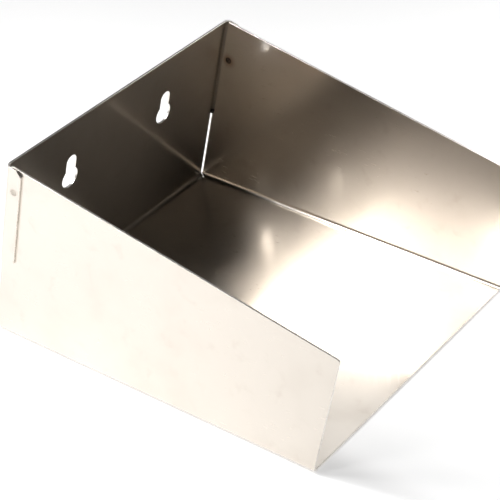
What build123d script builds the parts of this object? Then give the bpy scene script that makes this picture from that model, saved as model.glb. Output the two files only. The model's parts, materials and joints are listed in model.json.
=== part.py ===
"""Open-fronted hanging tray, folded from one sheet of stainless steel.

The blank has a floor, a back wall and two side walls. The back wall carries a tab at each side, which is
bent forwards round the outside of the side wall and spot-welded to it. A tack at the foot of each tab
closes the corner; below it the rear seam is left open down to the floor. Two keyhole slots hang the tray.

Frame: the floor lies on z = 0, the open front faces -Y, and the origin is the middle of the footprint of
the bounding box. The back wall leans forwards, so that the rim is square to it: hung on an upright wall,
the tray has a level rim.
"""

from build123d import *

import os
from math import cos, radians, sin, tan

os.makedirs("parts", exist_ok=True)

# ---- driving dimensions, in millimetres and degrees ----
width = 190.5  # over the two side walls
floor_length = 209.55  # from the rear fold line to the front edge
back_height = 114.3  # along the back wall, from the fold line to the rim
lean_angle = 10.0  # of the back wall, forwards from upright
sheet = 1.2  # sheet thickness
bend_radius = 2.4  # inside every bend
seam_gap = 0.3  # back wall's inner face to the side wall's rear edge, below the tabs
tab_seam_gap = 1.9  # the same beside the tabs, where the edge has to clear their bends
tab_clearance = 0.1  # between a tab and its side wall
tab_height = 64.0  # down from the rim
tab_width = 10.5  # forwards from the back wall's outer face
tab_chamfer = 3.0  # front corners of a tab
corner_radius = 1.5  # front upper corner of a side wall
relief_width = 0.8  # slit where the three bends meet
keyhole_spacing = 83.0  # between the two keyholes
keyhole_drop = 39.0  # from the rim to the round hole's centre
keyhole_diameter = 12.7  # round hole
keyhole_slot_width = 8.0  # slot above it
keyhole_slot_rise = 11.2  # from the round hole's centre to the centre of the slot's round end
weld_diameter = 4.0  # spot weld
weld_dimple = 0.12  # how far its faces lie below the sheet
weld_setback = 6.8  # from the back wall's outer face to the weld's centre
left_weld_drop = 14.5  # from the rim; the welds were placed by hand, at different heights
right_weld_drop = 24.8
tack_radius = 1.5  # bead at the foot of a tab
tack_setback = 1.7  # from the back wall's outer face to the bead's centre, so that the face stays clear

# ---- worked out from them ----
lean = radians(lean_angle)
outer_radius = bend_radius + sheet
half_width = width / 2
fold_setback = outer_radius * tan(radians(45 + lean_angle / 2))  # fold line to the bend's tangent
front_height = back_height - floor_length * sin(lean)  # along the side wall's front edge
rear_inset = fold_setback - outer_radius  # fold line to the rearmost point of the bend
front_overhang = front_height * sin(lean) - corner_radius * (cos(lean) + sin(lean) - 1)
fold_y = (floor_length + front_overhang + rear_inset) / 2
front_y = fold_y - floor_length
tangent_y = fold_y - fold_setback  # where the floor starts to bend up into the back wall
back_edge = half_width + tab_clearance - bend_radius  # side edge of the back wall's flat
tab_face = half_width + tab_clearance + sheet  # outer face of a tab
tab_root = back_edge - outer_radius  # a tab starts inside the back wall, to be one with it
tab_foot = back_height - tab_height  # along the back wall
wall_blank = back_height + outer_radius  # side walls before they are cut to shape


def back_point(setback, height):
    """Y and Z of a point, measured forwards from the back wall's outer face and up along it."""
    return (
        fold_y - setback * cos(lean) - height * sin(lean),
        height * cos(lean) - setback * sin(lean),
    )


def back_plane(setback, height):
    """Plane parallel to the back wall, facing backwards, with its y axis up the wall."""
    return Plane(origin=(0, *back_point(setback, height)), x_dir=(-1, 0, 0), z_dir=(0, cos(lean), sin(lean)))


def across_plane(height):
    """Plane square to the back wall's height, with its y axis pointing backwards."""
    return Plane(origin=(0, *back_point(0, height)), x_dir=(1, 0, 0), z_dir=(0, -sin(lean), cos(lean)))


# ---- back wall: a strip with the rear bend at its foot, and a tab at each side ----
with BuildPart() as back_wall:
    with BuildSketch(Plane.YZ):
        with BuildLine():
            FilletPolyline((front_y, 0), (fold_y, 0), back_point(0, back_height), radius=outer_radius)
            offset(amount=sheet, side=Side.LEFT)
        make_face()
    extrude(amount=back_edge, both=True)
    # the flat of the floor belongs to the channel below
    with BuildSketch(Plane.XY):
        with Locations((0, tangent_y)):
            Rectangle(width, floor_length, align=(Align.CENTER, Align.MAX))
    extrude(amount=sheet, mode=Mode.SUBTRACT)
    # the rear bend is mitred in plan where it meets the side bends
    with BuildSketch(Plane.XY):
        with BuildLine():
            Polyline(
                (half_width - outer_radius, tangent_y),
                (half_width, tangent_y + outer_radius),
                (half_width, tangent_y),
                close=True,
            )
        make_face()
        mirror(about=Plane.YZ)
    extrude(amount=outer_radius, mode=Mode.SUBTRACT)
    # the tabs
    with BuildSketch(across_plane(tab_foot)):
        with BuildLine():
            FilletPolyline((tab_root, 0), (tab_face, 0), (tab_face, -tab_width), radius=outer_radius)
            offset(amount=sheet, side=Side.RIGHT)
        make_face()
        mirror(about=Plane.YZ)
    extrude(amount=tab_height)
    tab_corners = back_wall.edges().filter_by(Axis.X).filter_by(lambda edge: abs(edge.center().X) > half_width)
    chamfer(tab_corners, tab_chamfer)
    # keyholes: a round hole with a narrower slot above it
    with BuildSketch(back_plane(0, back_height - keyhole_drop)):
        with GridLocations(keyhole_spacing, 0, 2, 1):
            Circle(keyhole_diameter / 2)
            SlotCenterPoint((0, keyhole_slot_rise / 2), (0, keyhole_slot_rise), keyhole_slot_width)
            with Locations((0, keyhole_slot_rise / 4)):
                Rectangle(keyhole_slot_width, keyhole_slot_rise / 2)
    extrude(amount=-2 * sheet, both=True, mode=Mode.SUBTRACT)

# ---- folded tray: floor and side walls as a channel, cut to the side view, then joined to the back ----
with BuildPart() as folded_tray:
    with BuildSketch(Plane.XZ.offset(-fold_y)):
        with BuildLine():
            FilletPolyline(
                (-half_width, wall_blank),
                (-half_width, 0),
                (half_width, 0),
                (half_width, wall_blank),
                radius=outer_radius,
            )
            offset(amount=sheet, side=Side.LEFT)
        make_face()
    extrude(amount=floor_length + wall_blank)
    with BuildSketch(Plane.YZ):
        with BuildLine():
            Polyline(
                (front_y, 0),
                (front_y - front_height * sin(lean), front_height * cos(lean)),
                back_point(sheet + tab_seam_gap, back_height),
                back_point(sheet + tab_seam_gap, tab_foot),
                back_point(sheet + seam_gap, tab_foot),
                back_point(sheet + seam_gap, 0),
                (tangent_y, 0),
                close=True,
            )
        make_face()
    extrude(amount=width, both=True, mode=Mode.INTERSECT)
    # everything behind the mitres belongs to the rear bend
    with BuildSketch(Plane.XY):
        with BuildLine():
            Polyline(
                (half_width - outer_radius, tangent_y),
                (half_width, tangent_y + outer_radius),
                (half_width, fold_y),
                (-half_width, fold_y),
                (-half_width, tangent_y + outer_radius),
                (-half_width + outer_radius, tangent_y),
                close=True,
            )
        make_face()
    extrude(amount=outer_radius, mode=Mode.SUBTRACT)
    add(back_wall.part)
    # slits that part the bends at the rear corners
    with BuildSketch(Plane.XY):
        for side in (-1, 1):
            with Locations(Location((side * (half_width - outer_radius), tangent_y), 90 - side * 45)):
                Rectangle(2 * outer_radius, relief_width, align=(Align.MIN, Align.CENTER))
    extrude(amount=outer_radius, mode=Mode.SUBTRACT)
    front_corners = folded_tray.edges().filter_by(Axis.X).group_by(Axis.Y)[0]
    fillet(front_corners, corner_radius)
    # holes in each tab and side wall, filled by the spot welds
    for side, drop in ((-1, left_weld_drop), (1, right_weld_drop)):
        with BuildSketch(Plane.YZ.offset(side * half_width)):
            with Locations(back_point(weld_setback, back_height - drop)):
                Circle(weld_diameter / 2)
        extrude(amount=2 * sheet, both=True, mode=Mode.SUBTRACT)

folded_tray.part.label = "folded_tray"
export_step(folded_tray.part, "parts/folded_tray.step")


# ---- spot welds: a disc of fused metal through each tab and side wall, slightly sunk in both faces ----
inner_weld_face = half_width - sheet + weld_dimple
outer_weld_face = tab_face - weld_dimple
for name, side, drop in (("left_spot_weld", -1, left_weld_drop), ("right_spot_weld", 1, right_weld_drop)):
    with BuildPart() as spot_weld:
        with BuildSketch(Plane.YZ.offset(side * inner_weld_face)):
            with Locations(back_point(weld_setback, back_height - drop)):
                Circle(weld_diameter / 2)
        extrude(amount=side * (outer_weld_face - inner_weld_face))
    spot_weld.part.label = name
    export_step(spot_weld.part, f"parts/{name}.step")

# ---- corner tacks: a bead in the rear seam at the foot of each tab, shaped by the sheet round it ----
tack_inset = half_width - sheet / 2 - bend_radius / 2
tack_y, tack_z = back_point(tack_setback, tab_foot)
for name, side in (("left_corner_tack", -1), ("right_corner_tack", 1)):
    with BuildPart() as corner_tack:
        with Locations(Location((side * tack_inset, tack_y, tack_z), (0, 0, 90 + side * 90))):
            Sphere(tack_radius)
        add(folded_tray.part, mode=Mode.SUBTRACT)
    corner_tack.part.label = name
    export_step(corner_tack.part, f"parts/{name}.step")
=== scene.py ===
"""Looks of a folded stainless hanging tray, built round its construction model, in metres."""

import json
from math import asin, cos, pi, radians, sin, sqrt, tan

import bmesh
import bpy
from mathutils import Matrix, Vector, noise


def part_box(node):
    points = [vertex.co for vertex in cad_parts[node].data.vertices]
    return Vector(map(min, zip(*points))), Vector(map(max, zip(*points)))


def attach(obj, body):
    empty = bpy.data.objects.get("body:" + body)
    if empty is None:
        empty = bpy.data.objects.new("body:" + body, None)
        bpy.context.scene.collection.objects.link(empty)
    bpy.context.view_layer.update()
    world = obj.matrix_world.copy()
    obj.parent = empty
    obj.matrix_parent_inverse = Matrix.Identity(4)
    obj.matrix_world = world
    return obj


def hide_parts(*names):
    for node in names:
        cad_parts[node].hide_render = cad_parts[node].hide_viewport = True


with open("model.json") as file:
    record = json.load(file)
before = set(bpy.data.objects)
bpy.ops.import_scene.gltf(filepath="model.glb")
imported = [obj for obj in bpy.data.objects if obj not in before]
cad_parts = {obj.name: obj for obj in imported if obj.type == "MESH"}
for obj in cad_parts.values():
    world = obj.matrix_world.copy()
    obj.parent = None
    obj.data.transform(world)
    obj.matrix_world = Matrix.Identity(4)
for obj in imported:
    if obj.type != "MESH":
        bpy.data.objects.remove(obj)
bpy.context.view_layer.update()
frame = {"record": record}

bl_info = {
    "name": "Folded Hanging Tray",
    "version": (1, 0, 0),
    "blender": (4, 5, 0),
    "location": "View3D > Sidebar > Tray",
    "description": "Makes the sheet, welds and finishes of a folded stainless hanging tray",
    "category": "Object",
}

BODY = "root"
SIDES = (("left", -1), ("right", 1))
MM = 0.001
NEAR = 1e-6
CUT_EDGE = 1
TABLE_GAP = 0.2 * MM
TRAY_LOW, TRAY_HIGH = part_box("folded_tray")
MOUNTS = {mount["name"]: mount for mount in frame["record"]["mounts"]}


# ---- sizes and finishes that a user would change ----

class TraySizes(bpy.types.PropertyGroup):
    sheet: bpy.props.FloatProperty(
        name="Sheet", description="Thickness of the steel", default=1.2 * MM, unit="LENGTH")
    bend_radius: bpy.props.FloatProperty(
        name="Bend Radius", description="Inside radius of every bend", default=2.4 * MM, unit="LENGTH")
    bend_steps: bpy.props.IntProperty(
        name="Bend Steps", description="Faces across a right-angled bend", default=14, min=4)
    floor_length: bpy.props.FloatProperty(
        name="Floor Length", description="Rear fold line to front edge", default=209.55 * MM, unit="LENGTH")
    lean: bpy.props.FloatProperty(
        name="Lean", description="Back wall's lean from upright", default=radians(10), subtype="ANGLE")
    seam_gap: bpy.props.FloatProperty(
        name="Seam Gap", description="Back wall to side wall below a tab", default=0.3 * MM, unit="LENGTH")
    tab_seam_gap: bpy.props.FloatProperty(
        name="Tab Seam Gap", description="Back wall to side wall beside a tab", default=1.9 * MM, unit="LENGTH")
    tab_clearance: bpy.props.FloatProperty(
        name="Tab Clearance", description="Tab to side wall", default=0.1 * MM, unit="LENGTH")
    tab_height: bpy.props.FloatProperty(
        name="Tab Height", description="Tab's length down from the rim", default=64 * MM, unit="LENGTH")
    tab_width: bpy.props.FloatProperty(
        name="Tab Width", description="Back wall's outer face to the tab's end", default=10.5 * MM, unit="LENGTH")
    tab_chamfer: bpy.props.FloatProperty(
        name="Tab Chamfer", description="Cut corners of a tab", default=3 * MM, unit="LENGTH")
    corner_radius: bpy.props.FloatProperty(
        name="Corner Radius", description="Front upper corner of a side wall", default=1.5 * MM, unit="LENGTH")
    slit: bpy.props.FloatProperty(
        name="Corner Slit", description="Width of the slit where three bends meet", default=0.8 * MM, unit="LENGTH")
    slot_width: bpy.props.FloatProperty(
        name="Slot Width", description="Narrow part of a keyhole", default=8 * MM, unit="LENGTH")
    slot_rise: bpy.props.FloatProperty(
        name="Slot Rise", description="Round hole's centre to the slot's end", default=11.2 * MM, unit="LENGTH")
    edge_round: bpy.props.FloatProperty(
        name="Edge Round", description="Rounding of the cut edges", default=0.14 * MM, unit="LENGTH")


class SteelFinish(bpy.types.PropertyGroup):
    colour: bpy.props.FloatVectorProperty(
        name="Colour", description="Bare steel", default=(0.70, 0.648, 0.587), subtype="COLOR")
    blotch_colour: bpy.props.FloatVectorProperty(
        name="Blotch Colour", description="Steel under handling blotches", default=(0.665, 0.612, 0.55), subtype="COLOR")
    smudge_colour: bpy.props.FloatVectorProperty(
        name="Smudge Colour", description="Steel under small smudges", default=(0.62, 0.56, 0.495), subtype="COLOR")
    scratch_colour: bpy.props.FloatVectorProperty(
        name="Scratch Colour", description="Bottom of a scratch", default=(0.86, 0.83, 0.79), subtype="COLOR")
    heat_colour: bpy.props.FloatVectorProperty(
        name="Heat Colour", description="Straw tint that a weld leaves", default=(0.34, 0.22, 0.12), subtype="COLOR")
    # Edge colour: the sheared edge's own tone, lifted well above the bare steel as a painted highlight along the cut
    # edges.
    edge_and_highlight_colour: bpy.props.FloatVectorProperty(
        name="Edge And Highlight Colour", description="Sheared edge", default=(0.90, 0.87, 0.82), subtype="COLOR")
    roughness: bpy.props.FloatProperty(
        name="Polish", description="Roughness of the clear reflection", default=0.10, min=0, max=1)
    haze: bpy.props.FloatProperty(
        name="Haze", description="Roughness of the haze over it", default=0.28, min=0, max=1)
    haze_share: bpy.props.FloatProperty(
        name="Haze Share", description="How much of the reflection is haze", default=0.60, min=0, max=1)
    bow: bpy.props.FloatProperty(
        name="Bow", description="Depth of the slow waves in the sheet", default=0.15 * MM, unit="LENGTH")
    halo_radius: bpy.props.FloatProperty(
        name="Halo Radius", description="Reach of the tint round a weld", default=6.5 * MM, unit="LENGTH")
    scuff_setback: bpy.props.FloatProperty(
        name="Scuff Setback", description="Front edge to the middle of the scuffed patch", default=20 * MM, unit="LENGTH")
    scuff_radius: bpy.props.FloatProperty(
        name="Scuff Radius", description="Reach of the scuffed patch", default=26 * MM, unit="LENGTH")


class WeldFinish(bpy.types.PropertyGroup):
    dimple: bpy.props.FloatProperty(
        name="Dimple", description="Depth that the electrode leaves", default=0.12 * MM, unit="LENGTH")
    colour: bpy.props.FloatVectorProperty(
        name="Colour", description="Oxidised weld metal", default=(0.16, 0.13, 0.11), subtype="COLOR")
    bright_colour: bpy.props.FloatVectorProperty(
        name="Bright Colour", description="Outer face of a spot weld", default=(0.62, 0.56, 0.49), subtype="COLOR")
    oxide_colour: bpy.props.FloatVectorProperty(
        name="Oxide Colour", description="Darkest of the oxide skin", default=(0.05, 0.042, 0.045), subtype="COLOR")
    soot_colour: bpy.props.FloatVectorProperty(
        name="Soot Colour", description="Specks of soot", default=(0.02, 0.018, 0.016), subtype="COLOR")


class StageSettings(bpy.types.PropertyGroup):
    azimuth: bpy.props.FloatProperty(
        name="Azimuth", description="Camera's direction from the front", default=radians(-54.76), subtype="ANGLE")
    elevation: bpy.props.FloatProperty(
        name="Elevation", description="Camera's height over the horizon", default=radians(34.77), subtype="ANGLE")
    distance: bpy.props.FloatProperty(
        name="Distance", description="Camera to the point it looks at", default=1.02886, unit="LENGTH")
    target: bpy.props.FloatVectorProperty(
        name="Target", description="Point that the camera looks at", default=(-0.004827, 0.004256, 0.042859),
        subtype="TRANSLATION")
    lens: bpy.props.FloatProperty(
        name="Lens", description="Focal length in millimetres", default=137.27)
    light_distance: bpy.props.FloatProperty(
        name="Light Distance", description="Soft lights to the middle of the tray", default=0.6, unit="LENGTH")
    table_glow: bpy.props.FloatProperty(
        name="Table Glow", description="Light that comes up through the table", default=0.44, min=0)


# Soft lights round the tray: bearing from the rear towards the right, height, width, depth and power.
SOFT_LIGHTS = {
    "low_right": (radians(120), radians(9), 0.31, 0.16, 1.3),
    "low_rear": (radians(30), radians(9), 0.31, 0.16, 0.065),
    "right": (radians(105), radians(32), 0.098, 0.125, 0.20),
    "right_high": (radians(95), radians(44), 0.083, 0.125, 0.31),
    "front_fill": (radians(65), radians(44), 0.083, 0.125, 0.06),
    "left": (radians(285), radians(36), 0.107, 0.125, 0.56),
    "left_key": (radians(309), radians(36), 0.107, 0.125, 0.25),
    "left_high": (radians(309), radians(48), 0.089, 0.125, 0.64),
    "rear_left": (radians(321), radians(42), 0.10, 0.25, 0.68),
    "rear_left_high": (radians(321), radians(60), 0.066, 0.125, 1.63),
}


# ---- places worked out from the frame and the sizes ----

class Plan:
    """The tray's places: x to the right, and points of the back wall by setback and height."""

    def __init__(self, sizes):
        self.sizes = sizes
        self.radius = sizes.bend_radius + sizes.sheet
        self.half_width = TRAY_HIGH.x - sizes.sheet - sizes.tab_clearance
        self.bend_x = self.half_width - self.radius
        self.back_edge = TRAY_HIGH.x - self.radius
        fold_setback = self.radius * tan(radians(45) + sizes.lean / 2)
        self.fold_y = TRAY_HIGH.y + fold_setback - self.radius
        self.front_y = self.fold_y - sizes.floor_length
        self.tangent_y = self.fold_y - fold_setback
        self.back_height = TRAY_HIGH.z / cos(sizes.lean)
        self.tab_foot = self.back_height - sizes.tab_height
        self.back_start = fold_setback
        self.up = Vector((0, -sin(sizes.lean), cos(sizes.lean)))
        self.out = Vector((0, cos(sizes.lean), sin(sizes.lean)))

    def back_point(self, setback, height, x=0.0):
        return Vector((x, self.fold_y, 0)) - self.out * setback + self.up * height


# ---- mesh steps ----

def edges_where(bm, test):
    """Open edges whose ends and middle all pass the test."""
    found = []
    for edge in bm.edges:
        first, last = (v.co for v in edge.verts)
        if edge.is_boundary and test(first) and test(last) and test((first + last) / 2):
            found.append(edge)
    return found


def spin_edges(bm, edges, centre, axis, angle, steps):
    made = bmesh.ops.spin(bm, geom=edges, cent=centre, axis=axis, angle=angle, steps=steps)
    return [e for e in made["geom_last"] if isinstance(e, bmesh.types.BMEdge)]


def pull_edges(bm, edges, offset):
    made = bmesh.ops.extrude_edge_only(bm, edges=edges)["geom"]
    bmesh.ops.translate(bm, vec=offset, verts=[v for v in made if isinstance(v, bmesh.types.BMVert)])
    return [e for e in made if isinstance(e, bmesh.types.BMEdge)]


def cut(bm, faces, point, normal, clear=True):
    """Cuts the faces at a plane and drops what lies on the side its normal points to."""
    geom = set(faces)
    for face in faces:
        geom.update(face.verts)
        geom.update(face.edges)
    made = bmesh.ops.bisect_plane(bm, geom=list(geom), dist=NEAR, plane_co=point, plane_no=normal)["geom"]
    if clear:
        beyond = [f for f in made if isinstance(f, bmesh.types.BMFace)
                  and (f.calc_center_median() - Vector(point)).dot(normal) > 0]
        bmesh.ops.delete(bm, geom=beyond, context="FACES")


def to_object(bm, name, *materials):
    mesh = bpy.data.meshes.new(name)
    for face in bm.faces:
        face.smooth = True
    bm.to_mesh(mesh)
    bm.free()
    for material in materials:
        mesh.materials.append(material)
    made = bpy.data.objects.new(name, mesh)
    bpy.context.scene.collection.objects.link(made)
    return made


# ---- the folded sheet ----

def channel_surface(bm, plan):
    """Floor, side bends and side walls: the outer face of the sheet, cut to the side view."""
    sizes = plan.sizes
    corners = [(-1, plan.front_y), (-1, plan.tangent_y), (1, plan.tangent_y), (1, plan.front_y)]
    floor = bm.faces.new([bm.verts.new((side * plan.bend_x, y, 0)) for side, y in corners])
    for _, side in SIDES:
        start = edges_where(bm, lambda co: abs(co.x - side * plan.bend_x) < NEAR and co.z < NEAR)
        last = spin_edges(bm, start, (side * plan.bend_x, 0, plan.radius), (0, -side, 0), pi / 2, sizes.bend_steps)
        pull_edges(bm, last, (0, 0, plan.back_height))
    sides = edges_where(bm, lambda co: abs(co.y - plan.tangent_y) < NEAR and abs(co.x) > plan.bend_x - NEAR)
    pull_edges(bm, sides, (0, plan.radius, 0))
    fronts = edges_where(bm, lambda co: abs(co.y - plan.front_y) < NEAR and abs(co.x) > plan.bend_x - NEAR)
    pull_edges(bm, fronts, (0, -plan.back_height * sin(sizes.lean) * 1.2, 0))

    def walls():
        return [f for f in bm.faces if f is not floor]

    bm.normal_update()
    cut(bm, walls(), (0, plan.front_y, 0), -plan.out)
    cut(bm, walls(), plan.back_point(0, plan.back_height), plan.up)
    for _, side in SIDES:
        near = [f for f in walls() if f.calc_center_median().x * side > 0]
        mitre = Vector((-side, 1, 0)).normalized()
        cut(bm, near, Vector((side * plan.bend_x, plan.tangent_y, 0)) - mitre * sizes.slit / 2, mitre)
    cut(bm, walls(), plan.back_point(sizes.sheet + sizes.seam_gap, 0), plan.out)
    cut(bm, walls(), plan.back_point(0, plan.tab_foot), plan.up, clear=False)
    beside_tabs = [f for f in walls() if (f.calc_center_median() - plan.back_point(0, plan.tab_foot)).dot(plan.up) > 0]
    cut(bm, beside_tabs, plan.back_point(sizes.sheet + sizes.tab_seam_gap, 0), plan.out)


def back_surface(bm, plan):
    """Rear bend, back wall and tabs."""
    sizes = plan.sizes
    start = edges_where(bm, lambda co: abs(co.y - plan.tangent_y) < NEAR and abs(co.x) < plan.bend_x + NEAR)
    known = set(bm.faces)
    steps = round(sizes.bend_steps * (1 + sizes.lean / (pi / 2)))
    last = spin_edges(bm, start, (0, plan.tangent_y, plan.radius), (1, 0, 0), pi / 2 + sizes.lean, steps)
    lower = pull_edges(bm, last, plan.up * (plan.tab_foot - plan.back_start))
    lower = [e for e in lower if all(abs(v.co.z - plan.back_point(0, plan.tab_foot).z) < NEAR for v in e.verts)]
    pull_edges(bm, lower, plan.up * sizes.tab_height)
    for _, side in SIDES:
        edge = [e for f in bm.faces if f not in known for e in f.edges
                if e.is_boundary and all(abs(v.co.x - side * plan.bend_x) < NEAR for v in e.verts)]
        pull_edges(bm, list(set(edge)), (side * (plan.back_edge - plan.bend_x), 0, 0))
        near = [f for f in bm.faces if f not in known and f.calc_center_median().x * side > plan.bend_x
                and f.calc_center_median().z < plan.radius]
        mitre = Vector((side, -1, 0)).normalized()
        cut(bm, near, Vector((side * plan.bend_x, plan.tangent_y, 0)) - mitre * sizes.slit / 2, mitre)
        root = edges_where(bm, lambda co: (
            abs(co.x - side * plan.back_edge) < NEAR and co.z > plan.back_point(0, plan.tab_foot).z - NEAR))
        centre = plan.back_point(plan.radius, plan.tab_foot, side * plan.back_edge)
        last = spin_edges(bm, root, centre, plan.up * -side, pi / 2, sizes.bend_steps)
        pull_edges(bm, last, -plan.out * (sizes.tab_width - plan.radius))


def make_tray(plan, *materials):
    bm = bmesh.new()
    channel_surface(bm, plan)
    back_surface(bm, plan)
    sizes = plan.sizes

    def corners(setback, x):
        return [v for v in bm.verts if abs(abs(v.co.x) - x) < NEAR
                and abs((plan.back_point(setback, 0) - v.co).dot(plan.out)) < NEAR and v.is_boundary]

    tips = [v for v in corners(sizes.tab_width, TRAY_HIGH.x)]
    bmesh.ops.bevel(bm, geom=tips, offset=sizes.tab_chamfer, segments=1, profile=0.5, affect="VERTICES", material=-1)
    front = [v for v in bm.verts if abs(abs(v.co.x) - plan.half_width) < NEAR
             and abs((v.co - Vector((0, plan.front_y, 0))).dot(plan.out)) < NEAR
             and abs((v.co - plan.back_point(0, plan.back_height)).dot(plan.up)) < NEAR]
    bmesh.ops.bevel(bm, geom=front, offset=sizes.corner_radius, segments=6, profile=0.5, affect="VERTICES", material=-1)
    bmesh.ops.dissolve_limit(bm, angle_limit=radians(1), verts=bm.verts[:], edges=bm.edges[:])
    floor = max(bm.faces, key=lambda face: face.calc_area())
    bmesh.ops.recalc_face_normals(bm, faces=bm.faces[:])
    if floor.normal.z > 0:
        bmesh.ops.reverse_faces(bm, faces=bm.faces[:])
    outer = set(bm.verts)
    bmesh.ops.solidify(bm, geom=bm.faces[:], thickness=sizes.sheet)
    for face in bm.faces:
        reaches = {vert in outer for vert in face.verts}
        face.material_index = CUT_EDGE if len(reaches) == 2 else 0
    blank = to_object(bm, "blank", *materials)
    cutters = [keyhole_cutter(plan, MOUNTS[side + "_keyhole"]) for side, _ in SIDES]
    cutters += [weld_cutter(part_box(side + "_spot_weld")) for side, _ in SIDES]
    for cutter in cutters:
        for material in materials:
            cutter.data.materials.append(material)
        for face in cutter.data.polygons:
            face.material_index = CUT_EDGE
    tray = to_object(round_edges(cut_holes(blank, cutters), sizes.edge_round), "tray_sheet", *materials)
    tray.modifiers.new("Flat Shading", "WEIGHTED_NORMAL")
    return tray


# ---- holes and edges ----

def arc(bm, start, centre, angle, steps):
    """A row of edges, swept anticlockwise from a point; returns its first and last vertex."""
    first = bm.verts.new(start)
    last = bmesh.ops.spin(bm, geom=[first], cent=centre, axis=(0, 0, 1), angle=angle, steps=steps)["geom_last"]
    return first, last[0]


def keyhole_cutter(plan, mount):
    """A round hole with a narrower slot above it, as a block square to the back wall."""
    sizes = plan.sizes
    radius = mount["dims"]["r_mm"] * MM
    half_slot = sizes.slot_width / 2
    shoulder = sqrt(radius ** 2 - half_slot ** 2)
    bm = bmesh.new()
    slot_right, slot_left = arc(bm, (half_slot, sizes.slot_rise, 0), (0, sizes.slot_rise, 0), pi, 20)
    hole_turn = 2 * pi - 2 * asin(half_slot / radius)
    hole_left, hole_right = arc(bm, (-half_slot, shoulder, 0), (0, 0, 0), hole_turn, 48)
    bm.edges.new((slot_left, hole_left))
    bm.edges.new((hole_right, slot_right))
    face = bmesh.ops.contextual_create(bm, geom=bm.edges[:])["faces"]
    block = bmesh.ops.extrude_face_region(bm, geom=face)["geom"]
    depth = 4 * sizes.sheet
    bmesh.ops.translate(bm, vec=(0, 0, depth), verts=[v for v in block if isinstance(v, bmesh.types.BMVert)])
    bmesh.ops.translate(bm, vec=(0, 0, -depth / 2), verts=bm.verts[:])
    turned = Matrix((Vector((-1, 0, 0)), plan.up, plan.out)).transposed().to_4x4()
    bmesh.ops.transform(bm, matrix=Matrix.Translation(mount["pos_m"]) @ turned, verts=bm.verts[:])
    bmesh.ops.recalc_face_normals(bm, faces=bm.faces[:])
    return to_object(bm, "keyhole")


def weld_cutter(box):
    """A round block through a tab and its side wall."""
    centre = (box[0] + box[1]) / 2
    radius = (box[1].z - box[0].z) / 2
    bm = bmesh.new()
    bmesh.ops.create_cone(
        bm, cap_ends=True, segments=48, radius1=radius, radius2=radius, depth=4 * (box[1].x - box[0].x),
        matrix=Matrix.Translation(centre) @ Matrix.Rotation(pi / 2, 4, "Y"))
    return to_object(bm, "weld_hole")


def cut_holes(blank, cutters):
    for cutter in cutters:
        modifier = blank.modifiers.new("Hole", "BOOLEAN")
        modifier.object = cutter
        modifier.solver = "EXACT"
    finished = blank.evaluated_get(bpy.context.evaluated_depsgraph_get())
    bm = bmesh.new()
    bm.from_mesh(finished.data)
    for used in (blank, *cutters):
        bpy.data.objects.remove(used)
    return bm


def round_edges(bm, amount):
    """Takes the sharpness off every cut edge except those that a weld fills."""
    bmesh.ops.remove_doubles(bm, verts=bm.verts[:], dist=amount / 3)
    welds = [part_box(side + "_spot_weld") for side, _ in SIDES]

    def in_weld(co):
        return any(abs(co.x - low.x) < 5 * MM and (co - (low + high) / 2).yz.length < (high.z - low.z) / 2 + amount
                   for low, high in welds)

    sharp = [e for e in bm.edges if e.is_manifold and e.calc_face_angle() > radians(40)
             and not in_weld((e.verts[0].co + e.verts[1].co) / 2)]
    bmesh.ops.bevel(bm, geom=sharp, offset=amount, segments=2, profile=0.5, affect="EDGES", material=-1)
    return bm


# ---- welds ----

def make_spot_weld(name, box, dimple, material):
    """A disc through both sheets; each face falls from a flush rim to a flat, sunk middle."""
    centre = (box[0] + box[1]) / 2
    radius = (box[1].z - box[0].z) / 2
    half = (box[1].x - box[0].x) / 2
    rim = half + dimple
    profile = [(half, 0), (half, 0.55), (half + 0.35 * dimple, 0.72), (half + 0.8 * dimple, 0.88), (rim, 1)]
    profile += [(-depth, reach) for depth, reach in reversed(profile)]
    bm = bmesh.new()
    verts = [bm.verts.new((depth, reach * radius, 0)) for depth, reach in profile]
    edges = [bm.edges.new(pair) for pair in zip(verts, verts[1:])]
    bmesh.ops.spin(bm, geom=verts + edges, axis=(1, 0, 0), angle=2 * pi, steps=48, use_merge=True)
    bmesh.ops.remove_doubles(bm, verts=bm.verts[:], dist=NEAR)
    bmesh.ops.recalc_face_normals(bm, faces=bm.faces[:])
    bmesh.ops.translate(bm, vec=centre, verts=bm.verts[:])
    return to_object(bm, name, material)


def make_tack(name, box, material):
    """A lumpy bead."""
    low, high = box
    bm = bmesh.new()
    bmesh.ops.create_icosphere(bm, subdivisions=5, radius=0.93)
    for vert in bm.verts:
        lumps = noise.noise(vert.co * 1.6 + low * 40) * 0.16 + noise.noise(vert.co * 4.5 + low * 90) * 0.05
        vert.co *= 1 + min(lumps, 0.07)
    place = Matrix.Translation((low + high) / 2) @ Matrix.Diagonal((*(high - low) / 2, 1))
    bmesh.ops.transform(bm, matrix=place, verts=bm.verts[:])
    return to_object(bm, name, material)


# ---- finishes ----

def add(tree, kind, inputs=None, **settings):
    """A node with its settings, and each input set to a value or fed by a socket."""
    node = tree.nodes.new(kind)
    for name, value in settings.items():
        setattr(node, name, value)
    for name, value in (inputs or {}).items():
        if isinstance(value, bpy.types.NodeSocket):
            tree.links.new(value, node.inputs[name])
        else:
            node.inputs[name].default_value = value
    return node


def maths(tree, operation, first, second=0.0, clamp=False):
    return add(tree, "ShaderNodeMath", {0: first, 1: second}, operation=operation, use_clamp=clamp).outputs[0]


def smooth_step(tree, value, low, high):
    inputs = {"Value": value, "From Min": low, "From Max": high}
    return add(tree, "ShaderNodeMapRange", inputs, interpolation_type="SMOOTHSTEP").outputs[0]


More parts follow.
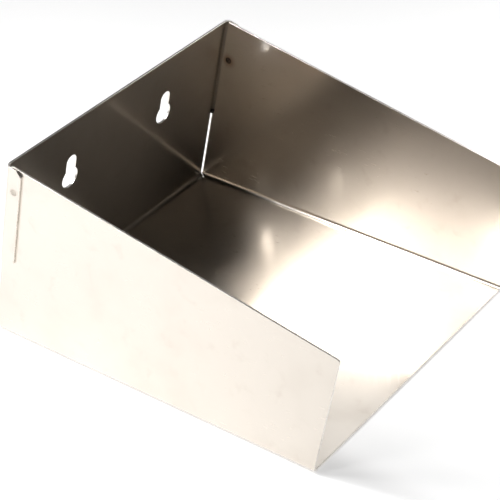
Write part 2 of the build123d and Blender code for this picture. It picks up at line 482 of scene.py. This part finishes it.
def new_group(name, inputs, output):
    """An empty effect group: its tree, its input sockets by name and its output node."""
    tree = bpy.data.node_groups.new(name, "ShaderNodeTree")
    for label, (kind, default) in inputs.items():
        socket = tree.interface.new_socket(label, in_out="INPUT", socket_type=kind)
        if default is not None:
            socket.default_value = default
    tree.interface.new_socket(output, in_out="OUTPUT", socket_type="NodeSocketFloat")
    return tree, tree.nodes.new("NodeGroupInput").outputs, tree.nodes.new("NodeGroupOutput")


def blotches_group():
    """Broad, soft patches, as handling and cleaning leave them."""
    tree, given, out = new_group("Blotches", {
        "Vector": ("NodeSocketVector", None), "Scale": ("NodeSocketFloat", 30.0),
        "Low": ("NodeSocketFloat", 0.45), "High": ("NodeSocketFloat", 0.7)}, "Mask")
    cloud = add(tree, "ShaderNodeTexNoise", {
        "Vector": given["Vector"], "Scale": given["Scale"], "Detail": 3.0, "Roughness": 0.55, "Distortion": 0.4})
    tree.links.new(smooth_step(tree, cloud.outputs["Fac"], given["Low"], given["High"]), out.inputs["Mask"])
    return tree


def grain_group():
    """The mill's fine grain, drawn out along the sheet's length."""
    tree, given, out = new_group("Rolling Grain", {
        "Vector": ("NodeSocketVector", None), "Scale": ("NodeSocketFloat", 2600.0),
        "Stretch": ("NodeSocketFloat", 0.04)}, "Height")
    along = add(tree, "ShaderNodeCombineXYZ", {"X": 1.0, "Y": given["Stretch"], "Z": 1.0})
    drawn = add(tree, "ShaderNodeVectorMath", {0: given["Vector"], 1: along.outputs[0]}, operation="MULTIPLY")
    streaks = add(tree, "ShaderNodeTexNoise", {
        "Vector": drawn.outputs[0], "Scale": given["Scale"], "Detail": 2.0, "Roughness": 0.6})
    tree.links.new(streaks.outputs["Fac"], out.inputs["Height"])
    return tree


def scratches_group():
    """Thin, broken lines at one angle about the vertical."""
    tree, given, out = new_group("Scratches", {
        "Vector": ("NodeSocketVector", None), "Angle": ("NodeSocketFloat", 0.0),
        "Scale": ("NodeSocketFloat", 900.0), "Length": ("NodeSocketFloat", 0.03),
        "Amount": ("NodeSocketFloat", 0.3)}, "Mask")
    turned = add(tree, "ShaderNodeVectorRotate", {"Vector": given["Vector"], "Angle": given["Angle"]},
                 rotation_type="Z_AXIS")
    along = add(tree, "ShaderNodeCombineXYZ", {"X": given["Length"], "Y": 1.0, "Z": 0.5})
    drawn = add(tree, "ShaderNodeVectorMath", {0: turned.outputs[0], 1: along.outputs[0]}, operation="MULTIPLY")
    lines = add(tree, "ShaderNodeTexNoise", {
        "Vector": drawn.outputs[0], "Scale": given["Scale"], "Detail": 1.0, "Roughness": 0.5})
    edge = maths(tree, "SUBTRACT", 0.82, maths(tree, "MULTIPLY", given["Amount"], 0.2))
    tree.links.new(smooth_step(tree, lines.outputs["Fac"], edge, maths(tree, "ADD", edge, 0.04)), out.inputs["Mask"])
    return tree


def mark_group():
    """A round mark: full at its centre, gone at its radius."""
    tree, given, out = new_group("Round Mark", {
        "Vector": ("NodeSocketVector", None), "Centre": ("NodeSocketVector", (0, 0, 0)),
        "Radius": ("NodeSocketFloat", 0.005), "Ragged": ("NodeSocketFloat", 0.3)}, "Mask")
    away = add(tree, "ShaderNodeVectorMath", {0: given["Vector"], 1: given["Centre"]}, operation="DISTANCE")
    uneven = add(tree, "ShaderNodeTexNoise", {"Vector": given["Vector"], "Scale": 260.0, "Detail": 2.0})
    shift = maths(tree, "MULTIPLY", maths(tree, "SUBTRACT", uneven.outputs["Fac"], 0.5), given["Ragged"])
    reach = maths(tree, "ADD", maths(tree, "DIVIDE", away.outputs["Value"], given["Radius"]), shift)
    tree.links.new(smooth_step(tree, reach, 1.0, 0.0), out.inputs["Mask"])
    return tree


def effect(material, group, **inputs):
    """The named effect group, placed in a material on its object coordinates."""
    tree = material.node_tree
    where = tree.nodes.get("Texture Coordinate") or tree.nodes.new("ShaderNodeTexCoord")
    node = add(tree, "ShaderNodeGroup", node_tree=EFFECTS[group])
    tree.links.new(where.outputs["Object"], node.inputs["Vector"])
    for name, value in inputs.items():
        node.inputs[name].default_value = value
    return node.outputs[0]


EFFECTS = {}


def make_effects():
    if not EFFECTS:
        EFFECTS.update(
            blotches=blotches_group(), grain=grain_group(), scratches=scratches_group(), mark=mark_group())


def tinted(tree, colour, tint, mask, amount):
    """A colour taken towards a tint where the mask says, by at most an amount."""
    share = maths(tree, "MULTIPLY", mask, amount, clamp=True)
    node = add(tree, "ShaderNodeMix", {0: share}, data_type="RGBA")
    for socket, value in ((node.inputs[6], colour), (node.inputs[7], tint)):
        if isinstance(value, bpy.types.NodeSocket):
            tree.links.new(value, socket)
        else:
            socket.default_value = (*value, 1)
    return node.outputs[2]


def two_lobed(material, colour, polish, haze, share, normal):
    """Mill-finished metal: a clear reflection under a wide haze. The roughness sockets take a lift over a base."""
    tree = material.node_tree
    tree.nodes.remove(tree.nodes["Principled BSDF"])
    lobes = []
    for roughness in (polish, haze):
        lobe = add(tree, "ShaderNodeBsdfPrincipled", {"Metallic": 1.0})
        for name, value in (("Base Color", colour), ("Roughness", roughness), ("Normal", normal)):
            tree.links.new(value, lobe.inputs[name])
        lobes.append(lobe.outputs[0])
    mix = add(tree, "ShaderNodeMixShader", {0: share, 1: lobes[0], 2: lobes[1]})
    tree.links.new(mix.outputs[0], tree.nodes["Material Output"].inputs["Surface"])


def inside(tree, least):
    """Full between the side walls, least outside them, where the flat electrode left the metal bright."""
    where = tree.nodes["Texture Coordinate"].outputs["Object"]
    across = maths(tree, "ABSOLUTE", add(tree, "ShaderNodeSeparateXYZ", {"Vector": where}).outputs["X"])
    share = smooth_step(tree, across, TRAY_HIGH.x - 1.2 * MM, TRAY_HIGH.x - 1.8 * MM)
    return maths(tree, "MAXIMUM", share, least)


def sheet_material(finish):
    """Stainless sheet: fine grain, handling blotches, smudges, scratches, a scuffed patch and tint round the welds."""
    material = bpy.data.materials.new("stainless_mill")
    material.use_nodes = True
    tree = material.node_tree
    broad = effect(material, "blotches", Scale=26.0, Low=0.42, High=0.72)
    small = effect(material, "blotches", Scale=85.0, Low=0.56, High=0.8)
    grain = effect(material, "grain")
    fine = effect(material, "scratches", Angle=0.35, Scale=900.0, Length=0.03, Amount=0.1)
    cross = effect(material, "scratches", Angle=2.2, Scale=700.0, Length=0.045, Amount=0.0)
    patch = effect(material, "mark", Centre=(0, TRAY_LOW.y + finish.scuff_setback, 0), Radius=finish.scuff_radius)
    scuffs = maths(tree, "MULTIPLY", effect(material, "scratches", Angle=-0.6, Scale=420.0, Length=0.12, Amount=1.2), patch)
    lines = maths(tree, "ADD", maths(tree, "ADD", fine, cross, clamp=True), scuffs, clamp=True)
    halo = 0.0
    for side, _ in SIDES:
        centre = sum(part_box(side + "_spot_weld"), Vector()) / 2
        halo = maths(tree, "ADD", effect(material, "mark", Centre=centre, Radius=finish.halo_radius), halo, clamp=True)
    halo = maths(tree, "MULTIPLY", halo, inside(tree, 0.12))
    colour = tinted(tree, finish.colour, finish.blotch_colour, broad, 0.8)
    colour = tinted(tree, colour, finish.smudge_colour, small, 0.6)
    colour = tinted(tree, colour, finish.heat_colour, halo, 0.8)
    colour = tinted(tree, colour, finish.scratch_colour, lines, 0.5)
    lift = maths(tree, "ADD", maths(tree, "MULTIPLY", broad, 0.03), maths(tree, "MULTIPLY", lines, 0.12))
    lift = maths(tree, "ADD", lift, maths(tree, "MULTIPLY", small, 0.04))
    lift = maths(tree, "ADD", lift, maths(tree, "MULTIPLY", maths(tree, "SUBTRACT", grain, 0.5), 0.03))
    bow = add(tree, "ShaderNodeTexNoise", {
        "Vector": tree.nodes["Texture Coordinate"].outputs["Object"], "Scale": 9.0, "Detail": 1.0})
    waves = add(tree, "ShaderNodeBump", {"Height": bow.outputs["Fac"], "Strength": 1.0, "Distance": finish.bow})
    grained = add(tree, "ShaderNodeBump", {
        "Height": grain, "Strength": 0.5, "Distance": 0.0006 * MM, "Normal": waves.outputs[0]})
    scored = add(tree, "ShaderNodeBump", {
        "Height": lines, "Strength": 0.4, "Distance": -0.005 * MM, "Normal": grained.outputs[0]})
    polish = maths(tree, "ADD", lift, finish.roughness)
    haze = maths(tree, "ADD", lift, finish.haze)
    two_lobed(material, colour, polish, haze, finish.haze_share, scored.outputs[0])
    return material


def edge_and_highlight_material(finish):
    """The sheared edge of the sheet, with the shear's fine lines across it. Its colour is lifted well above the bare
    steel: a painted highlight along every cut edge.
    """
    material = bpy.data.materials.new("stainless_cut_edge_and_painted_highlight")
    material.use_nodes = True
    tree = material.node_tree
    shear = effect(material, "blotches", Scale=2400.0, Low=0.35, High=0.7)
    worn = effect(material, "blotches", Scale=120.0, Low=0.45, High=0.65)
    # The edge colour paints a highlight along the cut edges, over the sheared edge's own tone.
    colour = tinted(tree, finish.edge_and_highlight_colour, finish.smudge_colour, worn, 0.35)
    bump = add(tree, "ShaderNodeBump", {"Height": shear, "Strength": 0.5, "Distance": 0.00002})
    lift = maths(tree, "MULTIPLY", shear, 0.1)
    two_lobed(material, colour, maths(tree, "ADD", lift, 0.22), maths(tree, "ADD", lift, 0.45), 0.4, bump.outputs[0])
    return material


def weld_material(name, finish, roughness, lump, bright_share):
    """Fused metal with a straw and blue-black oxide skin."""
    material = bpy.data.materials.new(name)
    material.use_nodes = True
    tree = material.node_tree
    oxide = effect(material, "blotches", Scale=700.0, Low=0.35, High=0.65)
    soot = effect(material, "blotches", Scale=1500.0, Low=0.45, High=0.7)
    skin = tinted(tree, finish.colour, finish.oxide_colour, oxide, 0.8)
    skin = tinted(tree, skin, finish.soot_colour, soot, 0.5)
    colour = tinted(tree, finish.bright_colour, skin, inside(tree, bright_share), 1.0)
    bump = add(tree, "ShaderNodeBump", {"Height": soot, "Strength": 0.6, "Distance": lump})
    lift = maths(tree, "MULTIPLY", oxide, 0.2)
    bsdf = tree.nodes["Principled BSDF"]
    bsdf.inputs["Metallic"].default_value = 1.0
    tree.links.new(colour, bsdf.inputs["Base Color"])
    tree.links.new(maths(tree, "ADD", lift, roughness), bsdf.inputs["Roughness"])
    tree.links.new(bump.outputs[0], bsdf.inputs["Normal"])
    return material


class TRAY_OT_sheet(bpy.types.Operator):
    """Folds the tray's sheet and gives it its mill finish"""
    bl_idname = "tray.sheet"
    bl_label = "Make Sheet"

    def execute(self, context):
        scene = context.scene
        plan = Plan(scene.tray_sizes)
        make_effects()
        tray = make_tray(plan, sheet_material(scene.steel_finish), edge_and_highlight_material(scene.steel_finish))
        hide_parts("folded_tray")
        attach(tray, BODY)
        return {"FINISHED"}


class TRAY_OT_spot_welds(bpy.types.Operator):
    """Sets the spot weld through each tab"""
    bl_idname = "tray.spot_welds"
    bl_label = "Make Spot Welds"

    def execute(self, context):
        finish = context.scene.weld_finish
        make_effects()
        material = weld_material("weld_metal", finish, 0.34, 0.03 * MM, 0.15)
        for side, _ in SIDES:
            node = side + "_spot_weld"
            weld = make_spot_weld(side + "_weld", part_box(node), finish.dimple, material)
            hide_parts(node)
            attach(weld, BODY)
        return {"FINISHED"}


class TRAY_OT_corner_tacks(bpy.types.Operator):
    """Lays the tack bead at the foot of each tab"""
    bl_idname = "tray.corner_tacks"
    bl_label = "Make Corner Tacks"

    def execute(self, context):
        make_effects()
        material = weld_material("tack_metal", context.scene.weld_finish, 0.3, 0.06 * MM, 1.0)
        for side, _ in SIDES:
            node = side + "_corner_tack"
            tack = make_tack(side + "_tack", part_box(node), material)
            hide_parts(node)
            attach(tack, BODY)
        return {"FINISHED"}


def soft_light(name, middle, distance, bearing, height, width, depth, power):
    """A softbox that faces the tray's middle."""
    data = bpy.data.lights.new(name, "AREA")
    data.shape = "RECTANGLE"
    data.size = width
    data.size_y = depth
    data.energy = power
    light = bpy.data.objects.new(name, data)
    away = Vector((sin(bearing) * cos(height), cos(bearing) * cos(height), sin(height)))
    light.location = middle + away * distance
    light.rotation_euler = away.to_track_quat("Z", "Y").to_euler()
    light.visible_camera = False
    bpy.context.scene.collection.objects.link(light)


class TRAY_OT_stage(bpy.types.Operator):
    """Sets the table, the lights and the camera"""
    bl_idname = "tray.stage"
    bl_label = "Set Stage"

    def execute(self, context):
        settings = context.scene.stage_settings
        bm = bmesh.new()
        bmesh.ops.create_grid(
            bm, x_segments=1, y_segments=1, size=6, matrix=Matrix.Translation((0, 0, -TABLE_GAP)))
        material = bpy.data.materials.new("pale_table")
        material.use_nodes = True
        bsdf = material.node_tree.nodes["Principled BSDF"]
        bsdf.inputs["Base Color"].default_value = (0.9, 0.9, 0.9, 1)
        bsdf.inputs["Emission Color"].default_value = (1, 1, 1, 1)
        bsdf.inputs["Emission Strength"].default_value = settings.table_glow
        table = to_object(bm, "table", material)
        world = bpy.data.worlds.new("studio")
        context.scene.world = world
        world.use_nodes = True
        world.node_tree.nodes["Background"].inputs["Color"].default_value = (0, 0, 0, 1)
        middle = Vector((0, 0, TRAY_HIGH.z / 4))
        for name, (bearing, height, width, depth, power) in SOFT_LIGHTS.items():
            soft_light(name, middle, settings.light_distance, bearing, height, width, depth, power)
        camera = bpy.data.objects.new("camera", bpy.data.cameras.new("camera"))
        context.scene.collection.objects.link(camera)
        camera.data.lens = settings.lens
        camera.data.clip_end = 100
        level = Vector((sin(settings.azimuth), -cos(settings.azimuth), 0)) * cos(settings.elevation)
        away = level + Vector((0, 0, sin(settings.elevation)))
        camera.location = Vector(settings.target) + away * settings.distance
        camera.rotation_euler = away.to_track_quat("Z", "Y").to_euler()
        context.scene.camera = camera
        context.scene.view_settings.view_transform = "Standard"
        return {"FINISHED"}


class TRAY_PT_panel(bpy.types.Panel):
    bl_label = "Folded Tray"
    bl_idname = "TRAY_PT_panel"
    bl_space_type = "VIEW_3D"
    bl_region_type = "UI"
    bl_category = "Tray"

    def draw(self, context):
        for settings in ("tray_sizes", "steel_finish", "weld_finish", "stage_settings"):
            group = getattr(context.scene, settings)
            for name in group.bl_rna.properties.keys():
                if name not in ("rna_type", "name"):
                    self.layout.prop(group, name)
        for operator in OPERATORS:
            self.layout.operator(operator.bl_idname)


SETTINGS = {
    "tray_sizes": TraySizes,
    "steel_finish": SteelFinish,
    "weld_finish": WeldFinish,
    "stage_settings": StageSettings,
}
OPERATORS = (TRAY_OT_sheet, TRAY_OT_spot_welds, TRAY_OT_corner_tacks, TRAY_OT_stage)
CLASSES = (*SETTINGS.values(), *OPERATORS, TRAY_PT_panel)


def register():
    for made in CLASSES:
        bpy.utils.register_class(made)
    for name, group in SETTINGS.items():
        setattr(bpy.types.Scene, name, bpy.props.PointerProperty(type=group))


def unregister():
    for name in SETTINGS:
        delattr(bpy.types.Scene, name)
    for made in reversed(CLASSES):
        bpy.utils.unregister_class(made)


def main():
    register()
    bpy.ops.tray.sheet()
    bpy.ops.tray.spot_welds()
    bpy.ops.tray.corner_tacks()
    bpy.ops.tray.stage()


if __name__ == "__main__":
    main()
